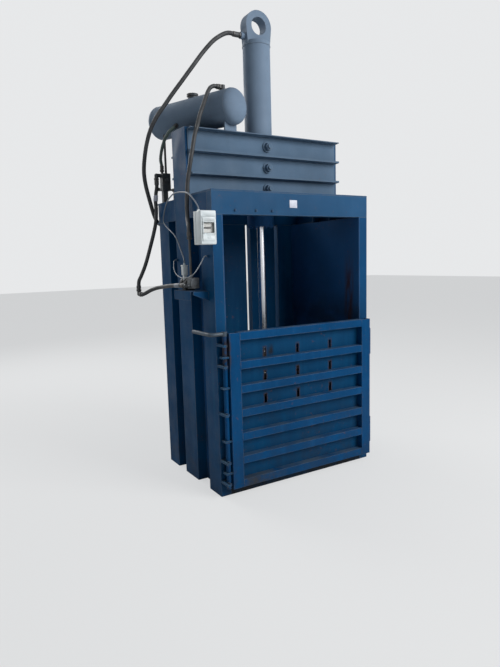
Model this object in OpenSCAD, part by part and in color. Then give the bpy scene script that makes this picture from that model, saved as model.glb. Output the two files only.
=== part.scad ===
// Upright hydraulic baling press for waste paper, welded from channel steel.
// Origin on the floor under the middle of the base, +X right, -Y front, +Z up.

/* [Side walls] */
// Width over the side columns
machine_w = 1230; // [1100:10:1400]
// Depth over the side columns
machine_d = 810; // [760:10:900]
// Depth of a column's flanges, across the wall
column_b = 68; // [58:1:76]
// Width of the front and rear columns
column_w = 160; // [140:10:180]
// Width of the middle columns that carry the head
mid_column_w = 200; // [196:2:220]
// Place of the middle columns and the cylinder, behind the centre
mid_y = 25; // [0:5:40]
// Thickness of the wall sheets
sheet_t = 5; // [3:1:8]
// Thickness of a channel's web
web_t = 6; // [5:0.5:8]
// Thickness of a channel's flange at its tip
tip_t = 6; // [5:0.5:8]
// Thickness of a channel's flange at its root
root_t = 10; // [9:0.5:12]

/* [Beams] */
// Height of the hood, head and base channels
beam_h = 140; // [120:5:160]
// Depth of the hood, head and base channels
beam_b = 58; // [50:1:62]
// Length of the head beams
head_w = 1196; // [1160:4:1220]
// Height of the loading opening's top edge above the floor
opening_top = 1757; // [1700:1:1850]
// Thickness of the roof and floor plates
plate_t = 8; // [5:1:12]

/* [Rear wall] */
// Width of the strap gaps between the rear posts
strap_gap = 44; // [38:1:50]
// Depth of a rear post
rear_post_b = 52; // [46:1:60]

/* [Door] */
// Bottom edge of the door above the floor
door_z0 = 57; // [40:1:80]
// Top edge of the door above the floor
door_z1 = 1046; // [980:1:1100]
// Left edge of the door, from the centre
door_left = 559; // [555:1:565]
// Right edge of the door, from the centre
door_right = 587; // [580:1:590]
// Depth of the door frame
door_t = 55; // [50:1:60]
// Gap between the door and the columns
door_gap = 8; // [3:1:10]
// Width of the stiles
stile_w = 76; // [60:1:90]
// Height of the door's rails and ribs
rib_h = 50; // [40:1:56]
// Distance from one rib to the next
rib_pitch = 151.7; // [140:0.1:156]
// Thickness of the door panel
panel_t = 6; // [4:1:8]
// Width of a strap slot
slot_w = 18; // [14:1:22]
// Height of a strap slot
slot_h = 58; // [40:1:70]

/* [Hinges and lock] */
// Radius of the hinge pins
pin_r = 7; // [5:0.5:9]
// Outer radius of the hinge knuckles
knuckle_r = 14; // [12:0.5:15]
// Height of one hinge
hinge_h = 185; // [150:1:210]
// Radius of the lock bar
lock_r = 15; // [12:0.5:16]
// Length of a hook, from the bar's centre
hook_l = 43; // [38:1:46]
// Thickness of hooks and keepers
hook_t = 14; // [10:1:18]
// Radius of the handle rod
handle_r = 12.5; // [10:0.5:14]
// Length of the handle along the wall
handle_l = 240; // [200:5:260]

/* [Cylinder and platen] */
// Outer radius of the barrel
barrel_r = 94; // [88:1:96]
// Inner radius of the barrel
barrel_bore_r = 80; // [76:1:82]
// Lower end of the gland above the floor
gland_z = 1715; // [1700:1:1740]
// Height of the gland below the barrel
gland_h = 85; // [60:1:100]
// Length of the barrel
barrel_l = 1125; // [1110:5:1200]
// Radius of the piston rod
rod_r = 28; // [25:0.5:32]
// Running clearance on the radius
run_gap = 0.05; // [0.02:0.01:0.09]
// Outer radius of the eye
eye_r = 100; // [96:1:106]
// Radius of the eye's bore
eye_bore_r = 57; // [40:1:64]
// Thickness of the eye
eye_t = 76; // [50:1:90]
// Height of the eye's bore above the barrel
eye_rise = 127; // [118:1:140]
// Length of rod that stands out, as posed
ram_out = 900; // [700:10:900]
// Height of the platen
platen_h = 150; // [120:5:170]
// Gap between the platen and the walls
platen_gap = 8; // [5:1:15]

/* [Tank] */
// Outer radius of the tank
tank_r = 113; // [105:1:116]
// Length of the tank between its domes
tank_l = 656; // [600:2:700]
// Depth of a dome
dome_h = 65; // [45:1:80]
// Turn of the tank from the side walls' line
tank_turn = 21.8; // [18:0.1:24]

/* [Pump set] */
// Height of the shelf's top above the floor
shelf_z = 1305; // [1280:1:1340]
// Depth of the shelf, out from the wall
shelf_b = 110; // [105:1:130]
// Radius of the motor body
motor_r = 34; // [30:1:36]
// Length of the motor body
motor_l = 70; // [64:1:74]

/* [Breaker box] */
// Width of the box
box_w = 103; // [95:1:110]
// Depth of the box
box_d = 95; // [80:1:100]
// Height of the box
box_h = 195; // [190:1:210]

/* [Hidden] */
$fn = 64;

paint = [0.10, 0.29, 0.52];
paint_dark = [0.07, 0.19, 0.34];
steel = [0.55, 0.56, 0.58];
dark_steel = [0.25, 0.26, 0.28];
rust = [0.36, 0.22, 0.15];
rubber = [0.10, 0.10, 0.11];
pale = [0.86, 0.87, 0.86];
grey = [0.45, 0.47, 0.48];
green = [0.25, 0.32, 0.30];

// Side wall
half_w = machine_w / 2;
half_d = machine_d / 2;
wall_x = half_w - column_b;
inner_x = wall_x - sheet_t;
front_y = -half_d;
mid_front_y = mid_y - mid_column_w / 2;
mid_rear_y = mid_y + mid_column_w / 2;

// Heights
deck_z = opening_top + beam_h;
head_beams = 3;
head_top = deck_z + head_beams * beam_h;
mid_column_top = head_top + 10;

// Door and its hinges
door_back = front_y - door_gap;
door_front = door_back - door_t;
panel_w = door_left + door_right - 2 * stile_w;
panel_x = (door_right - door_left) / 2;
panels = 6;
top_panel_z = door_z0 + rib_h + (panels - 1) * rib_pitch;
slot_x = [-276, -16, 260];
strap_x = [-414, -147, 120, 387];
strap_open = [strap_gap, strap_gap, strap_gap, strap_gap - 10];
rear_half_w = half_w - 36;
slot_panels = [3, 4, 5];
hinge_x = door_right + knuckle_r + 1.5;
hinge_y = door_front + door_t / 2 + 2.5;
hinge_z = [137, 789];
knuckles = 3;
knuckle_gap = 1;
knuckle_h = (hinge_h - (knuckles - 1) * knuckle_gap) / knuckles;

// Lock
lock_x = -(door_left + 19);
lock_y = front_y - 35;
lock_z0 = door_z0 + 3;
hook_z = [100, 238, 544, 844, 974];
bearing_z = [163, 369, 707, 897];
lip_x = -lock_r - 1.5;
arm_x = -lock_r - 9;
lip_t = 10;
lip_gap = 1;
bearing_t = 12;
handle_z = door_z1 - 4;
handle_out = 90;
handle_bend = 25;

// Cylinder
spigot_h = 55;
barrel_z0 = gland_z + gland_h;
barrel_z1 = barrel_z0 + barrel_l;
eye_plug_h = 25;
eye_z = barrel_z1 + eye_rise;
piston_h = 70;
stroke_down = 100;
piston_z = barrel_z0 + spigot_h + 5 + stroke_down;
socket_h = 70;
socket_r = 48;
platen_top = gland_z - ram_out - socket_h;
platen_z0 = platen_top - platen_h;
platen_w = 2 * (inner_x - platen_gap);
platen_d = machine_d - 2 * platen_gap - 6;
port_z = barrel_z0 + 50;
cap_port_z = eye_z - 69;
cap_port_x = -126;
rod_port_y = mid_y + barrel_r;

// Tank, lying across the head beams on the left
tank_front = [-290, -138];
tank_z = head_top + 151;
tank_dir = [-sin(tank_turn), cos(tank_turn)];
foot_s = [30, 300];
cap_s = 350;
top_port_s = 85;
neck_r = 33;
neck_h = 12;
return_s = 420;
return_dip = 35;
return_dir = [-cos(tank_turn) * cos(return_dip), -sin(tank_turn) * cos(return_dip), -sin(return_dip)];
return_port = [tank_front[0] + return_s * tank_dir[0], tank_front[1] + return_s * tank_dir[1], tank_z]
    + (tank_r + 5) * return_dir;

// Pump set on its shelf: pump in front, motor behind
motor_x = -(half_w + 57);
shelf_face = 60;
motor_z = shelf_z + 44;
unit_y = -262;
shelf_y = [-300, -55];
shelf_t = 5;
shaft_r = 6;
pump_l = 48;
bell_l = 16;
motor_s = pump_l + bell_l;
fan_s = motor_s + motor_l;
fan_cover_l = 22;
suction_x = motor_x - 11;
suction_y = unit_y + 32;
suction_top = 1617;
pump_port = [motor_x - 50, unit_y + 24, motor_z - 14];
terminal_x = motor_x - 14;
terminal_y = unit_y + fan_s - 16;
neck_w = 20;

// Relief block on the left rear corner and hand valve behind the rear beam
relief = [-598, 350, deck_z + 88];
relief_size = [60, 50, 118];
relief_elbow = [-630, 385, relief[2] + relief_size[2] - 13];
return_x = -588;
return_y = 378;
tank_pipe = [-556, 385];
valve = [-490, half_d + 62, 1718];
valve_size = [80, 60, 80];
valve_port_y = valve[1] + 30;
valve_port_z = valve[2] + 40;
lever_x = valve[0] + 40;
lever_y = valve[1] + valve_size[1] + 14;
lever_z = valve[2] + 40;

// Elbow between the two pump hoses
elbow = [-802, 388, 1265];

// Breaker box
box_x0 = -(half_w + 2 + box_w);
box_y0 = front_y - 60;
box_z0 = 1578;
box_wall = 3;
lid_m = 11;
lid_z0 = box_z0 + 20;
lid_z1 = box_z0 + 157;
lid_t = 4;
lid_gap = 0.6;
lid_axis_y = box_y0 - lid_gap - lid_t / 2;
lid_pin_r = 1.2;
view_w = 70;
view_h = 60;
view_z = box_z0 + 66;
breaker_y = box_y0 + 14;
toggle_r = 5;
toggle_y = breaker_y + 3;
toggle_z = view_z + view_h / 2;
box_gland = [box_x0 + 30, box_y0 + 81, box_z0 + box_h];
clip_front = [-345, 1512];
clip_rear = [112, 1496];
clip_t = 14;
bracket_t = 5;
bracket_h = 70;

// Directions at the fittings
to_left = [-1, 0, 0];
to_right = [1, 0, 0];
to_front = [0, -1, 0];
to_rear = [0, 1, 0];
up = [0, 0, 1];
down = [0, 0, -1];

// Fittings: the port each one sits on and its length
cap_fit = 58;
cap_start = [cap_port_x - cap_fit, mid_y, cap_port_z];
valve_fit = 53;
valve_left = [valve[0] - 2, valve_port_y, valve_port_z];
pump_fit = 45;
pump_start = relief_elbow - [0, 0, 20 + pump_fit];
inline_fit = 40;
inline_top = elbow + [0, 0, 20];
inline_front = elbow - [0, 20, 0];
unit_fit = 43;
unit_end = pump_port + [0, 22, 0];
port_flat = 15.5;
suction_fit = 30;
suction_port = [tank_front[0] + top_port_s * tank_dir[0] - port_flat,
    tank_front[1] + top_port_s * tank_dir[1], tank_z + tank_r + 20];
suction_end_fit = 45;
suction_end = [suction_x, suction_y, suction_top];
return_fit = 28;
return_end_fit = 40;
return_end = [return_x, return_y, relief[2] + relief_size[2] + 13];
rod_port = [0, mid_y + barrel_r + 17, port_z];
rod_fit = 40;
valve_right = [valve[0] + valve_size[0] + 2, valve_port_y, valve_port_z];
cable_gland_h = 12;
terminal_top = 1475;
// The cable's arch hangs clear of the ends of the head beams
arch_clear = 62;
arch_x = -head_w / 2 - arch_clear;

// Hoses and cables: points chosen by hand along each route
cap_hose_r = 14;
cap_route = [cap_start, [-208, 26, 2984], [-238, 31, 2977], [-280, 40, 2954], [-328, 50, 2916],
    [-390, 72, 2845], [-456, 95, 2757], [-522, 118, 2668], [-586, 145, 2581], [-636, 170, 2508],
    [-682, 195, 2440], [-717, 225, 2365], [-736, 265, 2275], [-745, 300, 2173], [-741, 330, 2090],
    [-724, 352, 2010], [-694, 380, 1930], [-662, 419, 1868], [-632, 453, 1815], [-604, 480, 1780],
    [-580, 494, 1763], [-562, 497, 1758], valve_left - [valve_fit, 0, 0]];
pump_hose_r = 13;
pump_route_a = [pump_start, [-631, 386, 2005], [-639, 388, 1960], [-643, 390, 1910],
    [-641, 391, 1850], [-648, 391, 1770], [-664, 391, 1705], [-690, 392, 1620], [-738, 391, 1480],
    [-777, 390, 1395], [-796, 389, 1360], inline_top + [0, 0, inline_fit]];
pump_route_b = [inline_front - [0, inline_fit, 0], [-800, 311, 1266], [-788, 292, 1274], [-763, 262, 1293],
    [-740, 215, 1308], [-728, 137, 1318], [-724, 23, 1328], [-722, -70, 1333], [-722, -150, 1335],
    unit_end + [0, unit_fit, 0]];
suction_hose_r = 13;
suction_route = [suction_port - [suction_fit, 0, 0], [-388, -61, 2600], [-416, -68, 2584], [-444, -79, 2547],
    [-473, -98, 2495], [-502, -120, 2445], [-532, -134, 2388], [-558, -148, 2322],
    [-582, -152, 2258], [-600, -153, 2180], [-618, -146, 2085], [-630, -130, 1990],
    [-636, -121, 1900], [-640, -120, 1830], [-652, -148, 1752], [-674, -205, 1705],
    [-683, -227, 1678], suction_end + [0, 0, suction_end_fit]];
return_hose_r = 11;
return_route = [return_port + return_fit * return_dir, [-571, 205, 2373], [-590, 217, 2355],
    [-603, 245, 2326], [-609, 285, 2288], [-608, 325, 2243], [-603, 358, 2198], [-593, 374, 2172],
    return_end + [0, 0, return_end_fit]];
rod_hose_r = 11;
rod_route = [rod_port + [0, rod_fit, 0], [-2, 200, 1851], [-30, 285, 1875], [-110, 370, 1930],
    [-195, 432, 1942], [-262, 479, 1906], [-300, 491, 1845], [-318, 496, 1795], [-335, 497, 1768],
    [-350, 497, 1759], valve_right + [rod_fit, 0, 0]];
cable_r = 4.5;
motor_route = [box_gland + [0, 0, cable_gland_h], [-690, -380, 1800], [-686, -325, 1843],
    [arch_x - 17, -222, 1896], [arch_x - 7, -100, 1917], [arch_x + 4, 18, 1925], [arch_x + 14, 107, 1917],
    [arch_x + 20, 193, 1887], [arch_x + 24, 252, 1833], [-636, 280, 1765], [-640, 210, 1718],
    [-652, 57, 1653], [-666, -58, 1558], [-684, -140, 1495], [terminal_x, terminal_y, terminal_top]];
wire_r = 3;
wire_route = [[-half_w - clip_t, clip_front[0], clip_front[1]], [-645, -347, 1509],
    [-692, -370, 1456], [-738, -376, 1406], [-752, -283, 1384], [-742, -149, 1401], [-700, -12, 1444],
    [-650, 95, 1491], [-half_w - clip_t, clip_rear[0], clip_rear[1]]];

// Outline of a rolled channel: web along Y from 0 to h, flanges towards +X
module channel_outline(h, b) {
    polygon([[0, 0], [b, 0], [b, tip_t], [web_t, root_t], [web_t, h - root_t], [b, h - tip_t], [b, h],
        [0, h]]);
}

// Upright channel, web on the outside of the wall
module column(y0, w, height) {
    translate([-half_w, y0, 0]) linear_extrude(height) channel_outline(w, column_b);
}

// Channel along X, its web's outer face at y = 0 and its flanges towards +Y
module beam(length, h = beam_h, b = beam_b) {
    translate([-length / 2, 0, 0]) rotate([90, 0, 90]) linear_extrude(length) channel_outline(h, b);
}

// Hexagon nut or bolt head, across its flats
module hexagon(flats, height) {
    cylinder(d = flats / cos(30), h = height, $fn = 6);
}

// Box given by two corners
module block(low, high) {
    translate(low) cube(high - low);
}

// Unit vectors of a route at each point, with ends as the pair of directions at its two fittings
function route_dir(p, i, ends) =
    i == 0 ? ends[0] : i == len(p) - 1 ? ends[1] : (p[i + 1] - p[i - 1]) / norm(p[i + 1] - p[i - 1]);
// Side vector carried along a route without twist
function route_side(t, s) = let (v = s - (s * t) * t) v / norm(v);
function route_sides(p, i, ends, s) =
    i == len(p) ? [] : let (v = route_side(route_dir(p, i, ends), s))
        concat([v], route_sides(p, i + 1, ends, v));

// Tube swept along a route's points, square to its fittings at both ends
module swept_tube(p, r, ends, sides = 8) {
    first = abs(ends[0][2]) > 0.7 ? [1, 0, 0] : [0, 0, 1];
    u = route_sides(p, 0, ends, first);
    n = len(p);
    points = [for (i = [0:n - 1]) let (v = cross(route_dir(p, i, ends), u[i]))
        for (k = [0:sides - 1]) p[i] + r * (cos(360 * k / sides) * u[i] + sin(360 * k / sides) * v)];
    walls = [for (i = [0:n - 2]) for (k = [0:sides - 1]) let (a = i * sides + k,
        b = i * sides + (k + 1) % sides) each [[a, b, a + sides], [b, b + sides, a + sides]]];
    start = [for (k = [1:sides - 2]) [0, k + 1, k]];
    end = [for (k = [1:sides - 2]) [(n - 1) * sides, (n - 1) * sides + k, (n - 1) * sides + k + 1]];
    polyhedron(points, [for (f = concat(walls, start, end)) [f[0], f[2], f[1]]], convexity = 6);
}

// Crimped hose end with its nut, of length l along the direction d from the port at p
module hose_end(p, d, r, l = 40) {
    translate(p) rotate([0, acos(d[2]), atan2(d[1], d[0])]) {
        hexagon(2 * r + 6, 14);
        translate([0, 0, 14]) cylinder(r = r - 1, h = 4);
        translate([0, 0, 18]) cylinder(r = r + 3, h = l - 18);
    }
}

module base_frame() {
    color(paint_dark) {
        translate([0, front_y, 0]) beam(2 * inner_x);
        mirror([0, 1, 0]) translate([0, -half_d, 0]) beam(2 * inner_x);
        for (y = [-machine_d / 4, 0, machine_d / 4])
            translate([0, y - beam_b / 2, 0]) beam(2 * inner_x);
    }
}

// Floor plates with strap grooves between them, in line with the door's slots
module floor_plates() {
    groove_w = slot_w + 12;
    edges = concat([-inner_x], [for (x = slot_x) each [x - groove_w / 2, x + groove_w / 2]], [inner_x]);
    color(dark_steel)
        for (i = [0:len(slot_x)])
            block([edges[2 * i], front_y, beam_h], [edges[2 * i + 1], half_d, beam_h + plate_t]);
}

module left_front_column() { color(paint) column(front_y, column_w, opening_top); }
module left_mid_column() { color(paint) column(mid_front_y, mid_column_w, mid_column_top); }
module left_rear_column() { color(paint) column(half_d - column_w, column_w, opening_top); }
module right_front_column() { mirror([1, 0, 0]) left_front_column(); }
module right_mid_column() { mirror([1, 0, 0]) left_mid_column(); }
module right_rear_column() { mirror([1, 0, 0]) left_rear_column(); }

module wall_sheets() {
    color(paint_dark)
        for (side = [-1, 1])
            translate([side * (inner_x + sheet_t / 2) - sheet_t / 2, front_y, 0])
                cube([sheet_t, machine_d, opening_top]);
}

// Channels on edge along the tops of the side walls
module side_rails() {
    spans = [[front_y + beam_b, mid_front_y], [mid_rear_y, half_d]];
    color(paint)
        for (side = [0, 1], s = spans)
            mirror([side, 0, 0]) translate([-half_w, s[1], opening_top]) rotate([90, 0, 0])
                linear_extrude(s[1] - s[0]) channel_outline(beam_h, beam_b);
}

// Five upright channels behind the chamber, with strap gaps between them
module rear_posts() {
    edges = concat([-rear_half_w], [for (i = [0:3]) each [strap_x[i] - strap_open[i] / 2,
        strap_x[i] + strap_open[i] / 2]], [rear_half_w]);
    color(paint)
        for (i = [0:4])
            translate([edges[2 * i], half_d, 0]) mirror([1, -1, 0]) linear_extrude(opening_top)
                channel_outline(edges[2 * i + 1] - edges[2 * i], rear_post_b);
}

module rear_top_beam() {
    color(paint) translate([0, half_d, opening_top]) beam(machine_w);
}

// Hood beam: a channel closed by a plate at each end
module lintel() {
    color(paint) translate([0, front_y, opening_top]) {
        beam(machine_w);
        for (x = [-half_w, half_w - web_t]) translate([x, 0, 0]) cube([web_t, beam_b, beam_h]);
    }
}

module roof_plate() {
    color(paint)
        block([-half_w, front_y, deck_z], [half_w, mid_front_y - beam_b, deck_z + plate_t]);
}

module head_row() {
    for (i = [0:head_beams - 1]) translate([0, 0, deck_z + i * beam_h]) beam(head_w);
}

module head_front_beams() {
    color(paint) mirror([0, 1, 0]) translate([0, -mid_front_y, 0]) difference() {
        head_row();
        bolt_holes();
    }
}

module head_rear_beams() {
    color(paint) translate([0, mid_rear_y, 0]) difference() {
        head_row();
        bolt_holes();
    }
}

bolt_r = 15;
module bolt_holes() {
    for (i = [0:head_beams - 1])
        translate([0, -1, deck_z + (i + 0.5) * beam_h]) rotate([-90, 0, 0])
            cylinder(r = bolt_r + 0.5, h = web_t + 2);
}

// One clamping bolt with its round washer and nut, on each head beam
module head_bolts() {
    washer_t = 8;
    color(rust)
        for (side = [0, 1], i = [0:head_beams - 1])
            translate([0, mid_y, deck_z + (i + 0.5) * beam_h]) mirror([0, side, 0])
                rotate([90, 0, 0]) {
                    translate([0, 0, mid_column_w / 2]) cylinder(r = bolt_r, h = web_t + 44);
                    translate([0, 0, mid_column_w / 2 + web_t]) cylinder(r = 37, h = washer_t);
                    translate([0, 0, mid_column_w / 2 + web_t + washer_t]) hexagon(46, 24);
                }
}

// Blocks between the head beams and the barrel, hollowed to its radius
module cylinder_saddles() {
    z0 = deck_z + 20;
    color(paint)
        for (side = [0, 1])
            translate([0, mid_y, 0]) mirror([0, side, 0]) difference() {
                block([-75, -mid_column_w / 2, z0], [75, -30, head_top - 20]);
                translate([0, 0, z0 - 1]) cylinder(r = barrel_r, h = head_top - deck_z);
            }
}

module cylinder_barrel() {
    color(paint) translate([0, mid_y, barrel_z0]) difference() {
        union() {
            cylinder(r = barrel_r, h = barrel_l);
            translate([0, barrel_r - 12, port_z - barrel_z0]) rotate([-90, 0, 0]) cylinder(r = 16, h = 29);
        }
        translate([0, 0, -1]) cylinder(r = barrel_bore_r, h = barrel_l + 2);
    }
}

// Cap end of the cylinder, with its eye across the machine's depth
module cylinder_eye() {
    color(paint) translate([0, mid_y, 0]) {
        difference() {
            union() {
                translate([0, 0, barrel_z1]) cylinder(r = barrel_r, h = eye_plug_h);
                translate([0, eye_t / 2, 0]) rotate([90, 0, 0]) linear_extrude(eye_t) {
                    translate([0, eye_z]) circle(r = eye_r);
                    polygon([[-barrel_r + 6, barrel_z1 + 5], [barrel_r - 6, barrel_z1 + 5],
                        [eye_r - 2, eye_z - 25], [2 - eye_r, eye_z - 25]]);
                }
                translate([cap_port_x, 0, cap_port_z]) rotate([0, 90, 0]) cylinder(r = 22, h = 50);
            }
            translate([0, eye_t / 2 + 1, eye_z]) rotate([90, 0, 0])
                cylinder(r = eye_bore_r, h = eye_t + 2);
        }
    }
}

// Lower head of the cylinder with its six bolts
module gland() {
    color(dark_steel) translate([0, mid_y, gland_z]) difference() {
        union() {
            cylinder(r = barrel_r, h = gland_h);
            cylinder(r = barrel_bore_r, h = gland_h + spigot_h);
            for (a = [30:60:330]) rotate([0, 0, a]) translate([barrel_bore_r - 6, 0, -10]) hexagon(24, 10);
        }
        translate([0, 0, -1]) cylinder(r = rod_r + run_gap, h = gland_h + spigot_h + 2);
    }
}

module piston() {
    color(dark_steel) translate([0, mid_y, piston_z]) cylinder(r = barrel_bore_r - run_gap, h = piston_h);
}

module piston_rod() {
    color([0.85, 0.86, 0.87]) translate([0, mid_y, platen_top])
        cylinder(r = rod_r, h = piston_z - platen_top);
}

// Pressing plate: a plate with grooves for the straps, cross channels and ribs on it
module platen() {
    bottom_t = 12;
    groove = slot_w + 12;
    chan_h = platen_h - bottom_t;
    color(rust) {
        difference() {
            union() {
                block([-platen_w / 2, -platen_d / 2, platen_z0],
                    [platen_w / 2, platen_d / 2, platen_z0 + bottom_t]);
                for (side = [0, 1]) mirror([0, side, 0])
                    translate([0, -platen_d / 2, platen_z0 + bottom_t]) beam(platen_w, chan_h);
                for (x = [-0.5, -0.25, 0.25, 0.5])
                    translate([x * (platen_w - plate_t) - plate_t / 2, beam_b - platen_d / 2,
                        platen_z0 + bottom_t]) cube([plate_t, platen_d - 2 * beam_b, chan_h - 20]);
                for (y = [mid_y - 70, mid_y + 70 - plate_t])
                    translate([-platen_w / 4, y, platen_z0 + bottom_t])
                        cube([platen_w / 2, plate_t, chan_h]);
            }
            for (x = slot_x) block([x - groove / 2, -platen_d, platen_z0 - 1],
                [x + groove / 2, platen_d, platen_z0 + bottom_t - 4]);
        }
        block([-platen_w / 4, mid_y - 90, platen_top - plate_t], [platen_w / 4, mid_y + 90, platen_top]);
        translate([0, mid_y, platen_top]) difference() {
            cylinder(r = socket_r, h = socket_h);
            translate([0, 0, -1]) cylinder(r = rod_r, h = socket_h + 2);
        }
    }
}

// Place on the tank's axis, s from its front seam
module on_tank(s) {
    translate([tank_front[0] + s * tank_dir[0], tank_front[1] + s * tank_dir[1], tank_z])
        rotate([0, 0, tank_turn]) children();
}

// Half ellipse of a dome, turned about the tank's axis
module tank_shell() {
    half = [for (a = [0:6:90]) [tank_r * cos(a), -dome_h * sin(a)]];
    far = [for (a = [90:-6:0]) [tank_r * cos(a), tank_l + dome_h * sin(a)]];
    bead = 3;
    color(paint) on_tank(0) rotate([-90, 0, 0]) difference() {
        rotate_extrude() {
            polygon(concat([for (i = [len(half) - 1:-1:0]) half[i]], [for (i = [len(far) - 1:-1:0]) far[i]]));
            for (s = [0, tank_l]) translate([tank_r - 2, s]) circle(r = bead, $fn = 16);
        }
        rotate_extrude() polygon([[0, -dome_h + 5], [tank_r * 0.7, -dome_h * 0.68 + 5], [tank_r - 4, 0],
            [tank_r - 4, tank_l], [tank_r * 0.7, tank_l + dome_h * 0.68 - 5], [0, tank_l + dome_h - 5]]);
    }
}

// Feet between the tank and the head beams, hollowed to the tank
module tank_feet() {
    foot_w = 120;
    foot_t = 10;
    color(paint)
        for (s = foot_s) on_tank(s) difference() {
            block([-foot_w / 2, -foot_t / 2, head_top - tank_z], [foot_w / 2, foot_t / 2, -tank_r * 0.6]);
            rotate([-90, 0, 0]) translate([0, 0, -foot_t]) cylinder(r = tank_r, h = 2 * foot_t);
        }
}

module tank_body() {
    on_tank(-dome_h) rotate([-90, 0, 0]) cylinder(r = tank_r, h = tank_l + 2 * dome_h);
}

// Filler neck, suction port on top and return socket below, cut to the tank's wall
module tank_fittings() {
    color(dark_steel) difference() {
        union() {
            on_tank(cap_s) cylinder(r = neck_r, h = tank_r + neck_h);
            on_tank(top_port_s) cylinder(r = 16, h = tank_r + 34);
            straight_pipe(return_port - 30 * return_dir, return_port, 14);
            translate([tank_pipe[0], tank_pipe[1], relief[2] + relief_size[2]])
                cylinder(r = 8, h = tank_z - relief[2] - relief_size[2]);
        }
        tank_body();
        block(suction_port - [20, 20, 20], suction_port + [0, 20, 20]);
        on_tank(cap_s) translate([0, 0, tank_r + 6]) cylinder(r = neck_r - 5, h = 20);
    }
}

module filler_cap() {
    color(dark_steel) on_tank(cap_s) translate([0, 0, tank_r + neck_h]) {
        difference() {
            cylinder(r = neck_r + 6, h = 16);
            for (a = [0:24:336]) rotate([0, 0, a]) translate([neck_r + 7, 0, -1])
                cylinder(r = 2.5, h = 18, $fn = 16);
        }
        translate([0, 0, -5]) cylinder(r = neck_r - 5.1, h = 6);
    }
}

// Shelf plate with a turned-down edge and two brackets under it
module pump_shelf() {
    color(paint) {
        block([-half_w - shelf_b, shelf_y[0], shelf_z - shelf_t], [-half_w, shelf_y[1], shelf_z]);
        block([-half_w - shelf_b, shelf_y[0], shelf_z - shelf_face],
            [-half_w - shelf_b + shelf_t, shelf_y[1], shelf_z - shelf_t]);
        for (y = [front_y + column_w / 2, mid_front_y + 30])
            translate([-half_w, y, shelf_z - shelf_t]) rotate([90, 0, 0]) linear_extrude(6)
                polygon([[0, 0], [shelf_t - shelf_b, 0], [shelf_t - shelf_b, -20], [0, -shelf_face]]);
    }
}

// Axis of the pump set, s from its front end
module on_unit(s) {
    translate([motor_x, unit_y + s, motor_z]) rotate([-90, 0, 0]) children();
}

module motor_body() {
    fins = 18;
    foot_w = 2 * motor_r - 4;
    color(grey) {
        difference() {
            on_unit(motor_s) union() {
                cylinder(r = motor_r - 5, h = motor_l);
                cylinder(r = motor_r, h = 8);
                translate([0, 0, motor_l - 8]) cylinder(r = motor_r, h = 8);
                difference() {
                    for (i = [0:fins - 1]) rotate([0, 0, (i + 0.5) * 360 / fins])
                        translate([motor_r - 7, -1, 7]) cube([7, 2, motor_l - 14]);
                    translate([terminal_x - motor_x - neck_w / 2, -motor_r - 1,
                        terminal_y - unit_y - motor_s - neck_w / 2]) cube([neck_w, motor_r, neck_w]);
                }
            }
            on_unit(fan_s - 30) cylinder(r = shaft_r + run_gap, h = 31);
        }
        difference() {
            block([motor_x - foot_w / 2, unit_y + motor_s + 12, shelf_z],
                [motor_x + foot_w / 2, unit_y + fan_s - 12, motor_z - motor_r + 9]);
            on_unit(motor_s) cylinder(r = motor_r - 6, h = motor_l);
        }
    }
}

// Fan on the end of the motor shaft
module motor_fan() {
    blades = 7;
    color(dark_steel) {
        on_unit(fan_s - 28) cylinder(r = shaft_r, h = 44);
        on_unit(fan_s + 2) {
            cylinder(r = 11, h = 12);
            for (i = [0:blades - 1]) rotate([0, 0, (i + 0.5) * 360 / blades])
                translate([9, -1, 1]) cube([motor_r - 14, 2, 10]);
        }
    }
}

// Sheet cap over the fan, with round holes in its end
module fan_cover() {
    color(grey) on_unit(fan_s) difference() {
        translate([0, 0, -6]) cylinder(r = motor_r + 2, h = fan_cover_l + 6);
        translate([0, 0, -7]) cylinder(r = motor_r, h = fan_cover_l + 5);
        for (n = [[11, 6], [22, 12]], a = [0:360 / n[1]:359])
            rotate([0, 0, a]) translate([n[0], 0, fan_cover_l - 4]) cylinder(r = 3.5, h = 6, $fn = 16);
    }
}

module terminal_box() {
    z0 = motor_z + motor_r - 4;
    color(pale) {
        difference() {
            block([terminal_x - neck_w / 2, terminal_y - neck_w / 2, motor_z],
                [terminal_x + neck_w / 2, terminal_y + neck_w / 2, z0 + 18]);
            on_unit(motor_s + 8) cylinder(r = motor_r - 5, h = motor_l - 16);
            on_unit(fan_s - 8) cylinder(r = motor_r, h = 20);
            block([terminal_x - 11, terminal_y - 11, 0], [terminal_x + 11, terminal_y + 11, motor_z + 14]);
        }
        block([terminal_x - 16, terminal_y - 16, z0 + 18], [terminal_x + 16, terminal_y + 16, z0 + 74]);
        block([terminal_x - 18, terminal_y - 18, z0 + 74], [terminal_x + 18, terminal_y + 18, z0 + 82]);
        translate([terminal_x, terminal_y, z0 + 82]) cylinder(r = 8, h = terminal_top - z0 - 82);
    }
}

module bell_housing() {
    color(dark_steel) on_unit(pump_l) {
        cylinder(r = motor_r - 4, h = 5);
        cylinder(r = motor_r - 9, h = bell_l);
        translate([0, 0, bell_l - 5]) cylinder(r = motor_r - 2, h = 5);
    }
}

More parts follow.
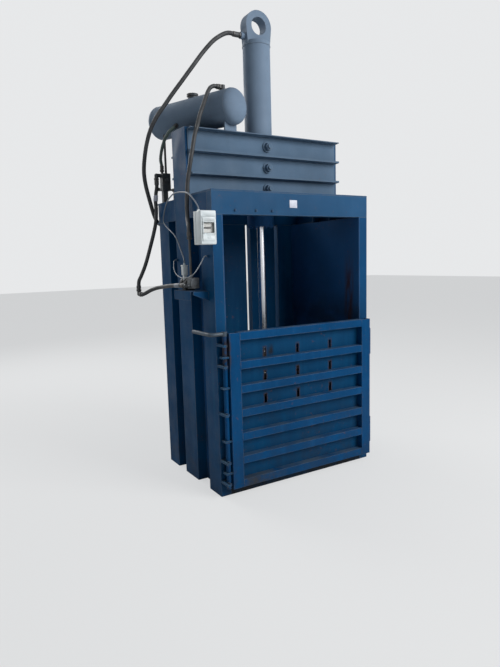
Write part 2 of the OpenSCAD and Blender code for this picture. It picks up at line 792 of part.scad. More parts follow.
// Gear pump with its bolted front cover, ports on its top and its left side
module pump_body() {
    color(steel) {
        block([motor_x - 30, unit_y + 10, motor_z - 34], [motor_x + 30, unit_y + pump_l, motor_z + 34]);
        block([motor_x - 28, unit_y, motor_z - 32], [motor_x + 28, unit_y + 10, motor_z + 32]);
        for (x = [-19, 19], z = [-22, 22])
            translate([motor_x + x, unit_y, motor_z + z]) rotate([90, 0, 0]) hexagon(13, 6);
        translate([suction_x, suction_y, motor_z + 34]) cylinder(r = 13, h = 12);
        translate(pump_port) {
            rotate([0, 90, 0]) cylinder(r = 11, h = 20);
            sphere(r = 13);
            rotate([-90, 0, 0]) cylinder(r = 13, h = 22);
        }
    }
}

module straight_pipe(a, b, r) {
    d = (b - a) / norm(b - a);
    translate(a) rotate([0, acos(d[2]), atan2(d[1], d[0])]) cylinder(r = r, h = norm(b - a));
}

// Suction pipe, and the pipe from the relief block to the hand valve with its elbows
module steel_pipes() {
    z = relief[2] + 25;
    x = relief[0] + relief_size[0] / 2;
    color(steel) straight_pipe([suction_x, suction_y, motor_z + 46], [suction_x, suction_y, suction_top], 8);
    color(dark_steel) {
        straight_pipe([x, relief[1] + relief_size[1], z], [x, valve_port_y, z], 7);
        block([x - 11, valve_port_y - 11, z - 11], [x + 11, valve_port_y + 11, z + 11]);
        straight_pipe([x, valve_port_y, z], [lever_x, valve_port_y, z], 7);
        block([lever_x - 11, valve_port_y - 11, z - 11], [lever_x + 11, valve_port_y + 11, z + 11]);
        straight_pipe([lever_x, valve_port_y, z], [lever_x, valve_port_y, valve[2] + valve_size[2]], 7);
    }
}

module relief_block() {
    color(dark_steel) {
        translate(relief) cube(relief_size);
        block([relief[0] + 6, relief[1] + 8, deck_z], [relief[0] + 40, relief[1] + 42, relief[2]]);
        // adjusting screw in front
        translate([relief[0] + 30, relief[1], relief[2] + 70]) rotate([90, 0, 0]) {
            cylinder(r = 14, h = 26);
            translate([0, 0, 26]) hexagon(20, 12);
        }
        // elbow on the left side, opening downwards
        translate(relief_elbow) {
            rotate([0, 90, 0]) cylinder(r = 13, h = relief[0] - relief_elbow[0]);
            sphere(r = 14);
            translate([0, 0, -20]) cylinder(r = 14, h = 20);
        }
        translate([return_x, return_y, relief[2] + relief_size[2]]) cylinder(r = 9, h = 13);
    }
}

module valve_block() {
    color(dark_steel) {
        translate(valve) cube(valve_size);
        block([valve[0] + 10, half_d + beam_b, opening_top], [valve[0] + 70, valve[1], deck_z]);
        for (side = [0, 1]) translate([lever_x, valve_port_y, valve_port_z]) mirror([side, 0, 0])
            translate([valve_size[0] / 2, 0, 0]) rotate([0, 90, 0]) cylinder(r = 14, h = 2);
        translate([lever_x, valve[1] + valve_size[1], lever_z]) rotate([-90, 0, 0])
            difference() {
                cylinder(r = 18, h = 10);
                translate([0, 0, 5]) cylinder(r = 12, h = 6);
            }
        for (x = [-16, 10]) translate([lever_x + x, valve[1] + valve_size[1] + 4, lever_z - 10])
            difference() {
                cube([6, 20, 20]);
                translate([-1, 10, 10]) rotate([0, 90, 0]) cylinder(r = 4 + run_gap, h = 8);
            }
    }
}

// Hand lever with its pin and knob
module valve_lever() {
    color(steel) translate([lever_x, lever_y, lever_z]) {
        rotate([0, 90, 0]) translate([0, 0, -20]) cylinder(r = 4, h = 40);
        rotate([-45, 0, 0]) {
            translate([0, 0, 2]) cylinder(r = 6, h = 150);
            translate([0, 0, 165]) sphere(r = 17);
        }
    }
}

module cap_hose() { color(rubber) swept_tube(cap_route, cap_hose_r, [to_left, to_right]); }
module pump_hose() {
    color(rubber) {
        swept_tube(pump_route_a, pump_hose_r, [down, down]);
        swept_tube(pump_route_b, pump_hose_r, [to_front, to_front]);
    }
}
module suction_hose() { color(rubber) swept_tube(suction_route, suction_hose_r, [to_left, down]); }
module return_hose() { color(green) swept_tube(return_route, return_hose_r, [return_dir, down]); }
module rod_hose() { color(rubber) swept_tube(rod_route, rod_hose_r, [to_rear, to_left]); }
module motor_cable() { color(grey) swept_tube(motor_route, cable_r, [up, down]); }
module control_wire() { color(grey) swept_tube(wire_route, wire_r, [to_left, to_right]); }

module hose_ends() {
    color(dark_steel) {
        hose_end([cap_port_x, mid_y, cap_port_z], to_left, cap_hose_r, cap_fit);
        hose_end(valve_left, to_left, cap_hose_r, valve_fit);
        hose_end(relief_elbow - [0, 0, 20], down, pump_hose_r, pump_fit);
        hose_end(inline_top, up, pump_hose_r, inline_fit);
        hose_end(inline_front, to_front, pump_hose_r, inline_fit);
        translate(elbow) {
            cylinder(r = 13, h = 20);
            sphere(r = 14);
            rotate([90, 0, 0]) cylinder(r = 13, h = 20);
        }
        hose_end(unit_end, to_rear, pump_hose_r, unit_fit);
        hose_end(suction_port, to_left, suction_hose_r, suction_fit);
        hose_end(suction_end, up, suction_hose_r, suction_end_fit);
        hose_end(return_port, return_dir, return_hose_r, return_fit);
        hose_end(return_end, up, return_hose_r, return_end_fit);
        hose_end(rod_port, to_rear, rod_hose_r, rod_fit);
        hose_end(valve_right, to_right, rod_hose_r, rod_fit);
    }
}

// Angle brackets for the breaker box and two clips for the thin wire
module side_brackets() {
    color(paint) {
        block([box_x0 + 20, box_y0 + box_d, box_z0 + 62],
            [-half_w, box_y0 + box_d + bracket_t, box_z0 + 62 + bracket_h]);
        block([-half_w - bracket_t, box_y0 + box_d + bracket_t, box_z0 + 62],
            [-half_w, box_y0 + box_d + bracket_t + 60, box_z0 + 62 + bracket_h]);
        for (c = [clip_front, clip_rear])
            block([-half_w - clip_t, c[0] - 8, c[1] - 8], [-half_w, c[0] + 8, c[1] + 8]);
    }
}

module breaker_box() {
    ear_x = [box_x0 + lid_m - 4.5, box_x0 + box_w - lid_m + 0.5];
    color(pale) {
        difference() {
            translate([box_x0, box_y0, box_z0]) cube([box_w, box_d, box_h]);
            translate([box_x0 + box_wall, box_y0 + box_wall, box_z0 + box_wall])
                cube([box_w - 2 * box_wall, box_d - 2 * box_wall, box_h - 2 * box_wall]);
            translate([box_x0 + box_w / 2 - view_w / 2, box_y0 - 1, view_z])
                cube([view_w, box_wall + 2, view_h]);
        }
        for (x = ear_x) difference() {
            block([x, lid_axis_y - 3, lid_z1 - 3], [x + 4, box_y0, lid_z1 + 3]);
            translate([x - 1, lid_axis_y, lid_z1]) rotate([0, 90, 0])
                cylinder(r = lid_pin_r + run_gap, h = 6);
        }
        translate(box_gland) cylinder(r = 9, h = cable_gland_h);
    }
}

// Small lid over the window, hung on two pins at its top edge
module box_window() {
    w = box_w - 2 * lid_m;
    color(pale) translate([box_x0 + lid_m, lid_axis_y - lid_t / 2, lid_z0]) {
        difference() {
            cube([w, lid_t, lid_z1 - lid_z0]);
            translate([w / 2 - view_w / 2, -1, view_z - lid_z0]) cube([view_w, lid_t + 2, view_h]);
        }
        translate([0, lid_t / 2, lid_z1 - lid_z0]) rotate([0, 90, 0]) {
            cylinder(r = lid_t / 2, h = w);
            translate([0, 0, -4]) cylinder(r = lid_pin_r, h = w + 8);
        }
        translate([w / 2, 0, 22]) rotate([90, 0, 0]) cylinder(r = 8, h = 2);
    }
}

module breaker() {
    color([0.8, 0.8, 0.78]) difference() {
        block([box_x0 + box_w / 2 - 34, breaker_y, view_z + 2],
            [box_x0 + box_w / 2 + 34, box_y0 + box_d - box_wall, view_z + view_h - 2]);
        translate([box_x0 + box_w / 2 - 25, toggle_y, toggle_z]) rotate([0, 90, 0])
            cylinder(r = toggle_r + run_gap, h = 50);
    }
}

// Joined switch levers of the breaker
module breaker_toggle() {
    color(dark_steel) translate([box_x0 + box_w / 2, toggle_y, toggle_z]) {
        rotate([0, 90, 0]) translate([0, 0, -24]) cylinder(r = toggle_r, h = 48);
        translate([-20, -13, -1.5]) cube([40, 13, 3]);
    }
}

// One rib or rail: channel on edge, its web in front
module door_rib(z) {
    translate([panel_x, door_front, z]) rotate([90, 0, 90]) translate([0, 0, -panel_w / 2])
        linear_extrude(panel_w) polygon([[0, 0], [door_t - panel_t, 0], [door_t - panel_t, 5], [5, 5],
            [5, rib_h - 5], [door_t - panel_t, rib_h - 5], [door_t - panel_t, rib_h], [0, rib_h]]);
}

module stile(x) {
    translate([x, door_front, door_z0]) linear_extrude(door_z1 - door_z0)
        polygon([[0, 0], [stile_w, 0], [stile_w, door_t], [stile_w - 5, door_t], [stile_w - 5, 5],
            [5, 5], [5, door_t], [0, door_t]]);
}

module knuckle(part) {
    for (z = hinge_z)
        translate([hinge_x, hinge_y, z + part * (knuckle_h + knuckle_gap)]) children();
}

module door_frame() {
    color(paint) {
        stile(-door_left);
        stile(door_right - stile_w);
        for (i = [0:panels - 1]) door_rib(door_z0 + i * rib_pitch);
        door_rib(door_z1 - rib_h);
        knuckle(1) difference() {
            union() {
                cylinder(r = knuckle_r, h = knuckle_h);
                translate([-knuckle_r - 1.5, -6, 0]) cube([knuckle_r, 12, knuckle_h]);
            }
            translate([0, 0, -1]) cylinder(r = pin_r + run_gap, h = knuckle_h + 2);
        }
    }
}

module door_panel() {
    color(paint) difference() {
        translate([panel_x - panel_w / 2, door_back - panel_t, door_z0])
            cube([panel_w, panel_t, door_z1 - door_z0]);
        for (x = slot_x, i = slot_panels)
            translate([x - slot_w / 2, door_back - panel_t - 1, door_z0 + i * rib_pitch + rib_h])
                cube([slot_w, panel_t + 2, slot_h]);
    }
}

module hinge_leaves() {
    color(paint)
        for (part = [0, 2]) knuckle(part) difference() {
            union() {
                cylinder(r = knuckle_r, h = knuckle_h);
                translate([-6, 0, 0]) cube([12, front_y - hinge_y, knuckle_h]);
            }
            translate([0, 0, -1]) cylinder(r = pin_r + run_gap, h = knuckle_h + 2);
        }
}

module hinge_pins() {
    color(steel)
        knuckle(0) {
            translate([0, 0, -4]) cylinder(r = pin_r, h = hinge_h + 8);
            translate([0, 0, hinge_h]) cylinder(r = pin_r + 3, h = 6);
        }
}

module lock_bearings() {
    color(paint)
        for (z = bearing_z) translate([lock_x, lock_y, z - bearing_t / 2]) difference() {
            translate([-28, -22, 0]) cube([28 - door_left - lock_x, 44, bearing_t]);
            translate([0, 0, -1]) cylinder(r = lock_r + run_gap, h = bearing_t + 2);
        }
}

// Turning bar with a hook at each keeper
module lock_bar() {
    color(paint) {
        translate([lock_x, lock_y, lock_z0]) cylinder(r = lock_r, h = handle_z + 14 - lock_z0);
        for (z = hook_z) translate([lock_x - lock_r, lock_y - hook_l, z - hook_t / 2])
            cube([12, hook_l, hook_t]);
    }
}

// Bent rod on a sleeve, along the side wall
module lock_handle() {
    color(grey) translate([lock_x, lock_y, handle_z]) difference() {
        union() {
            translate([0, 0, -14]) cylinder(r = lock_r + 3, h = 28);
            rotate([0, -90, 0]) cylinder(r = handle_r, h = handle_out - handle_bend);
            translate([handle_bend - handle_out, handle_bend, 0]) rotate([0, 0, 180])
                rotate_extrude(angle = 90) translate([handle_bend, 0]) circle(r = handle_r);
            translate([-handle_out, handle_bend, 0]) rotate([-90, 0, 0])
                cylinder(r = handle_r, h = handle_l - handle_bend);
        }
        translate([0, 0, -15]) cylinder(r = lock_r, h = 30);
    }
}

// Keepers welded on the front column: the hooks turn in behind their lips
module lock_keepers() {
    lip_y = -hook_l - lip_gap;
    color(paint)
        for (z = hook_z) translate([lock_x, lock_y, z - hook_t / 2]) linear_extrude(hook_t)
            polygon([[arm_x - 12, lip_y - lip_t], [lip_x, lip_y - lip_t], [lip_x, lip_y], [arm_x, lip_y],
                [arm_x, 29], [16, 29], [16, 35], [arm_x - 12, 35]]);
}

base_frame();
floor_plates();
left_front_column();
left_mid_column();
left_rear_column();
right_front_column();
right_mid_column();
right_rear_column();
wall_sheets();
side_rails();
rear_posts();
rear_top_beam();
lintel();
roof_plate();
head_front_beams();
head_rear_beams();
head_bolts();
cylinder_saddles();
cylinder_barrel();
cylinder_eye();
gland();
piston();
piston_rod();
platen();
tank_shell();
tank_feet();
tank_fittings();
filler_cap();
pump_shelf();
motor_body();
motor_fan();
fan_cover();
terminal_box();
bell_housing();
pump_body();
steel_pipes();
relief_block();
valve_block();
valve_lever();
cap_hose();
pump_hose();
suction_hose();
return_hose();
rod_hose();
hose_ends();
motor_cable();
control_wire();
side_brackets();
breaker_box();
box_window();
breaker();
breaker_toggle();
door_frame();
door_panel();
hinge_leaves();
hinge_pins();
lock_bearings();
lock_bar();
lock_handle();
lock_keepers();
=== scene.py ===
import math

import bpy
from mathutils import Matrix, Vector


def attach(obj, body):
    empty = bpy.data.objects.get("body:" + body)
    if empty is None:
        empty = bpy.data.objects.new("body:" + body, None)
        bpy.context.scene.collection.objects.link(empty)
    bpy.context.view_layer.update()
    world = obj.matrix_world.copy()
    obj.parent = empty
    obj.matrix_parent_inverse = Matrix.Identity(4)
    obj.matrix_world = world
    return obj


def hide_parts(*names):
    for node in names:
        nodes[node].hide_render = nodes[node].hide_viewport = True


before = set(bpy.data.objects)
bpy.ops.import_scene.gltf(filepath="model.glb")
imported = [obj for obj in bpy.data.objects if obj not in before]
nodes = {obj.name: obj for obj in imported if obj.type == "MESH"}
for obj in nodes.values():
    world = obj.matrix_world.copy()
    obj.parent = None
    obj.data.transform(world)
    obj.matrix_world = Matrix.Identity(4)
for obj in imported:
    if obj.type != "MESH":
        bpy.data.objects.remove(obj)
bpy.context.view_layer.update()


# Camera: at the height of a standing person's eyes, in front of the press and to its
# left, turned towards it by a third of a right angle and tipped a little down.
camera_place = Vector((-2.137, -3.324, 1.480))
camera_yaw = math.radians(31.14)
camera_pitch = math.radians(7.64)
camera_roll = math.radians(-1.60)
picture_width = 500
focal_pixels = 545.3
sensor_width = 36
farthest_seen = 60

sight = Vector((math.sin(camera_yaw) * math.cos(camera_pitch),
                math.cos(camera_yaw) * math.cos(camera_pitch), -math.sin(camera_pitch)))
level = Vector((math.cos(camera_yaw), -math.sin(camera_yaw), 0))
rise = level.cross(sight)
side_axis = math.cos(camera_roll) * level + math.sin(camera_roll) * rise
top_axis = math.cos(camera_roll) * rise - math.sin(camera_roll) * level
bpy.ops.object.camera_add()
camera = bpy.context.object
camera.name = "photo_camera"
camera.data.sensor_fit = "HORIZONTAL"
camera.data.sensor_width = sensor_width
camera.data.lens = sensor_width * focal_pixels / picture_width
camera.data.clip_end = farthest_seen
camera.matrix_world = Matrix((side_axis, top_axis, -sight)).transposed().to_4x4()
camera.location = camera_place
bpy.context.scene.camera = camera


# Hydraulic hoses: black or green rubber over wire braid, held at both ends in crimped
# steel fittings. Each one runs from fitting to fitting on one smooth curve.
def plain_material(name, colour, roughness, metallic=0.0):
    material = bpy.data.materials.new(name)
    material.use_nodes = True
    shader = material.node_tree.nodes["Principled BSDF"]
    shader.inputs["Base Color"].default_value = (*colour, 1)
    shader.inputs["Roughness"].default_value = roughness
    shader.inputs["Metallic"].default_value = metallic
    return material, material.node_tree, shader


def noise(tree, scale, detail=4, rough=0.55, stretch=(1, 1, 1)):
    where = tree.nodes.new("ShaderNodeTexCoord")
    mapping = tree.nodes.new("ShaderNodeMapping")
    mapping.inputs["Scale"].default_value = stretch
    texture = tree.nodes.new("ShaderNodeTexNoise")
    texture.inputs["Scale"].default_value = scale
    texture.inputs["Detail"].default_value = detail
    texture.inputs["Roughness"].default_value = rough
    tree.links.new(where.outputs["Object"], mapping.inputs["Vector"])
    tree.links.new(mapping.outputs["Vector"], texture.inputs["Vector"])
    return texture.outputs["Fac"]


def ramp(tree, value, low, high, top=1.0, bottom=0.0):
    band = tree.nodes.new("ShaderNodeMapRange")
    band.inputs["From Min"].default_value = low
    band.inputs["From Max"].default_value = high
    band.inputs["To Min"].default_value = bottom
    band.inputs["To Max"].default_value = top
    tree.links.new(value, band.inputs["Value"])
    return band.outputs["Result"]


def mix_colour(tree, factor, under, over):
    node = tree.nodes.new("ShaderNodeMix")
    node.data_type = "RGBA"
    tree.links.new(factor, node.inputs["Factor"])
    for socket, value in ((node.inputs["A"], under), (node.inputs["B"], over)):
        if isinstance(value, tuple):
            socket.default_value = (*value, 1)
        else:
            tree.links.new(value, socket)
    return node.outputs["Result"]


def bump(tree, shader, height, strength, distance, bevel=0.0):
    node = tree.nodes.new("ShaderNodeBump")
    node.inputs["Strength"].default_value = strength
    node.inputs["Distance"].default_value = distance
    tree.links.new(height, node.inputs["Height"])
    if bevel:
        rounding = tree.nodes.new("ShaderNodeBevel")
        rounding.samples = 4
        rounding.inputs["Radius"].default_value = bevel
        tree.links.new(rounding.outputs["Normal"], node.inputs["Normal"])
    tree.links.new(node.outputs["Normal"], shader.inputs["Normal"])


def rubber(name, colour, worn, roughness=0.55):
    material, tree, shader = plain_material(name, colour, roughness)
    grime = ramp(tree, noise(tree, 9, 5), 0.45, 0.75, 0.8)
    tree.links.new(mix_colour(tree, grime, colour, worn), shader.inputs["Base Color"])
    gloss = ramp(tree, noise(tree, 25), 0.3, 0.7, roughness + 0.15, roughness - 0.1)
    tree.links.new(gloss, shader.inputs["Roughness"])
    bump(tree, shader, noise(tree, 900, 2), 0.25, 0.0004)
    return material


def smooth_route(points):
    steps = 6
    ends = [points[0] * 2 - points[1]] + points + [points[-1] * 2 - points[-2]]
    line = []
    for i in range(1, len(ends) - 2):
        a, b, c, d = ends[i - 1:i + 3]
        for k in range(steps):
            t = k / steps
            line.append(0.5 * (2 * b + (c - a) * t + (2 * a - 5 * b + 4 * c - d) * t ** 2
                               + (3 * b - a - 3 * c + d) * t ** 3))
    return line + [points[-1]]


def hose(name, node, route, radius, material):
    points = smooth_route([Vector(p) / 1000 for p in route])
    curve = bpy.data.curves.new(name, "CURVE")
    curve.dimensions = "3D"
    curve.bevel_depth = radius / 1000
    curve.bevel_resolution = 5
    curve.use_fill_caps = True
    spline = curve.splines.new("POLY")
    spline.points.add(len(points) - 1)
    for place, point in zip(spline.points, points):
        place.co = (*point, 1)
    piece = bpy.data.objects.new(name, curve)
    bpy.context.scene.collection.objects.link(piece)
    piece.data.materials.append(material)
    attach(piece, "press_frame")
    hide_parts(node)


black_rubber = rubber("black_hose_rubber", (0.021, 0.023, 0.026), (0.060, 0.062, 0.066))
green_rubber = rubber("green_hose_rubber", (0.045, 0.075, 0.070), (0.085, 0.115, 0.105))

cap_route = [
    (-184, 25, 2983), (-208, 26, 2984), (-238, 31, 2977), (-280, 40, 2954), (-328, 50, 2916),
    (-390, 72, 2845), (-456, 95, 2757), (-522, 118, 2668), (-586, 145, 2581), (-636, 170, 2508),
    (-682, 195, 2440), (-717, 225, 2365), (-736, 265, 2275), (-745, 300, 2173), (-741, 330, 2090),
    (-724, 352, 2010), (-694, 380, 1930), (-662, 419, 1868), (-632, 453, 1815), (-604, 480, 1780),
    (-580, 494, 1763), (-562, 497, 1758), (-545, 497, 1758)]
pump_route_upper = [
    (-630, 385, 2025), (-631, 386, 2005), (-639, 388, 1960), (-643, 390, 1910), (-641, 391, 1850),
    (-648, 391, 1770), (-664, 391, 1705), (-690, 392, 1620), (-738, 391, 1480), (-777, 390, 1395),
    (-796, 389, 1360), (-802, 388, 1325)]
pump_route_lower = [
    (-802, 328, 1265), (-800, 311, 1266), (-788, 292, 1274), (-763, 262, 1293), (-740, 215, 1308),
    (-728, 137, 1318), (-724, 23, 1328), (-722, -70, 1333), (-722, -150, 1335), (-722, -173, 1335)]
suction_route = [
    (-367.1, -59.1, 2601), (-388, -61, 2600), (-416, -68, 2584), (-444, -79, 2547),
    (-473, -98, 2495), (-502, -120, 2445), (-532, -134, 2388), (-558, -148, 2322),
    (-582, -152, 2258), (-600, -153, 2180), (-618, -146, 2085), (-630, -130, 1990),
    (-636, -121, 1900), (-640, -120, 1830), (-652, -148, 1752), (-674, -205, 1705),
    (-683, -227, 1678), (-683, -230, 1662)]
return_route = [
    (-557, 207.6, 2384.3), (-571, 205, 2373), (-590, 217, 2355), (-603, 245, 2326),
    (-609, 285, 2288), (-608, 325, 2243), (-603, 358, 2198), (-593, 374, 2172), (-588, 378, 2156)]
rod_route = [
    (0, 176, 1850), (-2, 200, 1851), (-30, 285, 1875), (-110, 370, 1930), (-195, 432, 1942),
    (-262, 479, 1906), (-300, 491, 1845), (-318, 496, 1795), (-335, 497, 1768),
    (-350, 497, 1759), (-368, 497, 1758)]
hose("cap_end_hose", "cap_hose", cap_route, 14, black_rubber)
hose("pump_hose_upper", "pump_hose", pump_route_upper, 13, black_rubber)
hose("pump_hose_lower", "pump_hose", pump_route_lower, 13, black_rubber)
hose("suction_line", "suction_hose", suction_route, 13, black_rubber)
hose("return_line", "return_hose", return_route, 11, green_rubber)
hose("rod_end_hose", "rod_hose", rod_route, 11, black_rubber)


# Cables: a grey sheathed lead from the breaker box up over the side rail and back down
# to the motor's terminal box, and a thin wire that hangs between two clips.
cable_sheath = rubber("grey_cable_sheath", (0.13, 0.16, 0.20), (0.22, 0.25, 0.28), 0.45)
thin_sheath = rubber("thin_wire_sheath", (0.16, 0.18, 0.20), (0.26, 0.28, 0.29), 0.45)

motor_route = [
    (-690, -384, 1785), (-690, -380, 1800), (-686, -325, 1843), (-677, -222, 1896),
    (-667, -100, 1917), (-656, 18, 1925), (-646, 107, 1917), (-640, 193, 1887), (-636, 252, 1833),
    (-636, 280, 1765), (-640, 210, 1718), (-652, 57, 1653), (-666, -58, 1558), (-684, -140, 1495),
    (-686, -144, 1475)]
wire_route = [
    (-629, -345, 1512), (-645, -347, 1509), (-692, -370, 1456), (-738, -376, 1406),
    (-752, -283, 1384), (-742, -149, 1401), (-700, -12, 1444), (-650, 95, 1491), (-629, 112, 1496)]
hose("motor_lead", "motor_cable", motor_route, 4.5, cable_sheath)
hose("thin_wire", "control_wire", wire_route, 3, thin_sheath)


# Columns, rear posts and rails: rolled steel channels welded up and brushed with blue
# gloss paint, now faded in runs and dusty where they face up. Their edges are lighter:
# partly worn paint, partly painted highlight where the rounded corners would catch light.
def sums(tree, kind, a, b):
    node = tree.nodes.new("ShaderNodeMath")
    node.operation = kind
    for socket, value in zip(node.inputs, (a, b)):
        if isinstance(value, (int, float)):
            socket.default_value = value
        else:
            tree.links.new(value, socket)
    return node.outputs["Value"]


# Lighter edges: partly worn paint, partly painted highlight on the rounded corners.
def edge_wear_and_highlight(tree):
    rounding = tree.nodes.new("ShaderNodeBevel")
    rounding.samples = 4
    rounding.inputs["Radius"].default_value = 0.007
    flat = tree.nodes.new("ShaderNodeNewGeometry")
    dot = tree.nodes.new("ShaderNodeVectorMath")
    dot.operation = "DOT_PRODUCT"
    tree.links.new(rounding.outputs["Normal"], dot.inputs[0])
    tree.links.new(flat.outputs["Normal"], dot.inputs[1])
    return ramp(tree, dot.outputs["Value"], 0.995, 0.93)


def height_and_facing(tree):
    where = tree.nodes.new("ShaderNodeTexCoord")
    place = tree.nodes.new("ShaderNodeSeparateXYZ")
    tree.links.new(where.outputs["Object"], place.inputs["Vector"])
    flat = tree.nodes.new("ShaderNodeNewGeometry")
    facing = tree.nodes.new("ShaderNodeSeparateXYZ")
    tree.links.new(flat.outputs["Normal"], facing.inputs["Vector"])
    return place.outputs["Z"], facing.outputs["Z"]


rust = (0.135, 0.060, 0.028)
splashed_mud = (0.022, 0.022, 0.021)
brown_dust = (0.078, 0.066, 0.054)


def old_paint(name, colour, faded, dust=0.8, splash=0.5, chips=0.5, edge=0.5, roughness=0.42,
              streaks=0.6, dust_colour=brown_dust):
    material, tree, shader = plain_material(name, colour, roughness)
    shader.inputs["Specular IOR Level"].default_value = 0.08
    height, skyward = height_and_facing(tree)
    darker = tuple(c * 0.72 for c in colour)
    coat = mix_colour(tree, ramp(tree, noise(tree, 1.7, 5), 0.35, 0.65), darker, colour)
    runs = ramp(tree, noise(tree, 5, 5, 0.6, (3.2, 3.2, 0.22)), 0.48, 0.72, streaks)
    coat = mix_colour(tree, runs, coat, faded)
    patches = sums(tree, "MULTIPLY", ramp(tree, noise(tree, 34, 6, 0.7), 0.60, 0.68),
                   ramp(tree, noise(tree, 3.1, 3), 0.45, 0.62, chips))
    coat = mix_colour(tree, patches, coat, rust)
    # Edges mixed to a lighter tone: partly worn paint, partly painted highlight.
    rubbed_and_highlit = sums(tree, "MULTIPLY", edge_wear_and_highlight(tree),
                  ramp(tree, noise(tree, 16, 4), 0.30, 0.52, edge))
    coat = mix_colour(tree, rubbed_and_highlit, coat, tuple(0.5 * c + 0.07 for c in faded))
    low = sums(tree, "MULTIPLY", ramp(tree, height, 0.75, 0.0, splash),
               ramp(tree, noise(tree, 6, 6, 0.65), 0.35, 0.65))
    coat = mix_colour(tree, low, coat, splashed_mud)
    film = sums(tree, "MULTIPLY", ramp(tree, skyward, 0.55, 0.95, dust),
                ramp(tree, noise(tree, 7, 6), 0.32, 0.66))
    coat = mix_colour(tree, film, coat, dust_colour)
    tree.links.new(coat, shader.inputs["Base Color"])
    gloss = ramp(tree, noise(tree, 8, 5), 0.3, 0.7, roughness + 0.18, roughness - 0.08)
    gloss = sums(tree, "ADD", gloss, sums(tree, "MULTIPLY", film, 0.3))
    tree.links.new(gloss, shader.inputs["Roughness"])
    bump(tree, shader, noise(tree, 60, 5), 0.35, 0.0012, 0.0025)
    return material


def dress(material, *names):
    for name in names:
        piece = nodes[name]
        if not piece.material_slots:
            piece.data.materials.append(material)
        for place in piece.material_slots:
            place.material = material


column_paint = old_paint("column_paint", (0.002, 0.056, 0.155), (0.005, 0.072, 0.165), edge=1.0)
dress(column_paint, "left_front_column", "left_mid_column", "left_rear_column",
      "right_front_column", "right_mid_column", "right_rear_column", "side_rails", "rear_posts",
      "rear_top_beam", "pump_shelf", "side_brackets")


# Hood beam and roof plate: a channel welded across the top of the loading opening, with
# a sheet behind it. Sun and rain have paled their paint a little.
hood_paint = old_paint("hood_paint", (0.018, 0.080, 0.180), (0.026, 0.092, 0.185), splash=0,
                       chips=0.4, edge=1.0, roughness=0.45, streaks=0.3)
dress(hood_paint, "lintel", "roof_plate")


# Head: stacked channels in front of the cylinder and behind it, bolted together through
# round washers, with saddles that hold the barrel. Their paint is paler and greyer than
# the frame's, and that paleness is painted light: the haze and glare of light from above.
# The paler blue-grey here is painted glare and haze from above.
head_paint_glare_lit = old_paint("head_paint_glare_lit", (0.100, 0.165, 0.250), (0.118, 0.180, 0.260), dust=0.5,
                       splash=0, chips=0.3, edge=0.6, roughness=0.5, streaks=0.25)
dress(head_paint_glare_lit, "head_front_beams", "head_rear_beams", "cylinder_saddles", "head_bolts")


# Cylinder and oil tank: a steel tube with a welded eye, and a rolled tank with domed ends
# on welded feet. They stand highest and have the palest paint, which is painted light:
# the glare and haze of light from above mixed into their colour.
# The palest blue-grey here is painted glare and haze from above.
cylinder_paint_glare_lit = old_paint("cylinder_paint_glare_lit", (0.180, 0.250, 0.345), (0.195, 0.260, 0.340),
                           dust=0.3, splash=0, chips=0.3, edge=0.6, roughness=0.5, streaks=0.25)
dress(cylinder_paint_glare_lit, "cylinder_barrel", "cylinder_eye", "tank_shell", "tank_feet")


# Base frame: channels on the ground and the sill under the door, nearly black with
# splashed mud and chipped paint.
sill_paint = old_paint("sill_paint", (0.005, 0.026, 0.060), (0.014, 0.022, 0.030), dust=0.9,
                       splash=1.0, chips=1.0, edge=0.4, roughness=0.6)
dress(sill_paint, "base_frame")


# Wall sheets: thin steel welded behind the columns, in the columns' blue made brighter: the
# extra brightness is painted light reaching into the chamber and the gaps. They are dirty low
# down, darker in a band about a metre up, and have a dark rusty run on the right. The gland
# under the barrel has the same paint.
def near(tree, axis, values, inner, outer):
    where = tree.nodes.new("ShaderNodeTexCoord")
    place = tree.nodes.new("ShaderNodeSeparateXYZ")
    tree.links.new(where.outputs["Object"], place.inputs["Vector"])
    closest = None
    for value in values:
        gap = sums(tree, "ABSOLUTE", sums(tree, "SUBTRACT", place.outputs[axis], value), 0)
        closest = gap if closest is None else sums(tree, "MINIMUM", closest, gap)
    return ramp(tree, closest, outer, inner)


def stain(material, colour, amount, x=None, y=None, z=None, stretch=(1, 1, 1), scale=30):
    tree = material.node_tree
    shader = tree.nodes["Principled BSDF"]
    mask = ramp(tree, noise(tree, scale, 5, 0.6, stretch), 0.36, 0.54, amount)
    for axis, place in (("X", x), ("Y", y), ("Z", z)):
        if place:
            mask = sums(tree, "MULTIPLY", mask, near(tree, axis, *place))
    coat = shader.inputs["Base Color"].links[0].from_socket
    tree.links.new(mix_colour(tree, mask, coat, colour), shader.inputs["Base Color"])


# A brighter copy of the column paint: painted light inside the chamber and the gaps.
recess_paint_lit_brighter = old_paint("recess_paint_lit_brighter", (0.016, 0.085, 0.230), (0.016, 0.080, 0.205), dust=0.9,
                         splash=0.9, chips=0.9, edge=0.3, roughness=0.55, streaks=0.4)
low_dark_band, rusty_run = (0.012, 0.030, 0.060), (0.045, 0.018, 0.014)
# A darker blue band about a metre up on the wall sheets.
stain(recess_paint_lit_brighter, low_dark_band, 0.6, z=((1.0,), 0.08, 0.24), scale=5)
stain(recess_paint_lit_brighter, rusty_run, 0.85, x=((0.541,), 0.004, 0.006), y=((-0.30,), 0.02, 0.06),
      z=((1.15,), 0.15, 0.42), stretch=(1, 1, 0.15))
dress(recess_paint_lit_brighter, "wall_sheets", "gland")


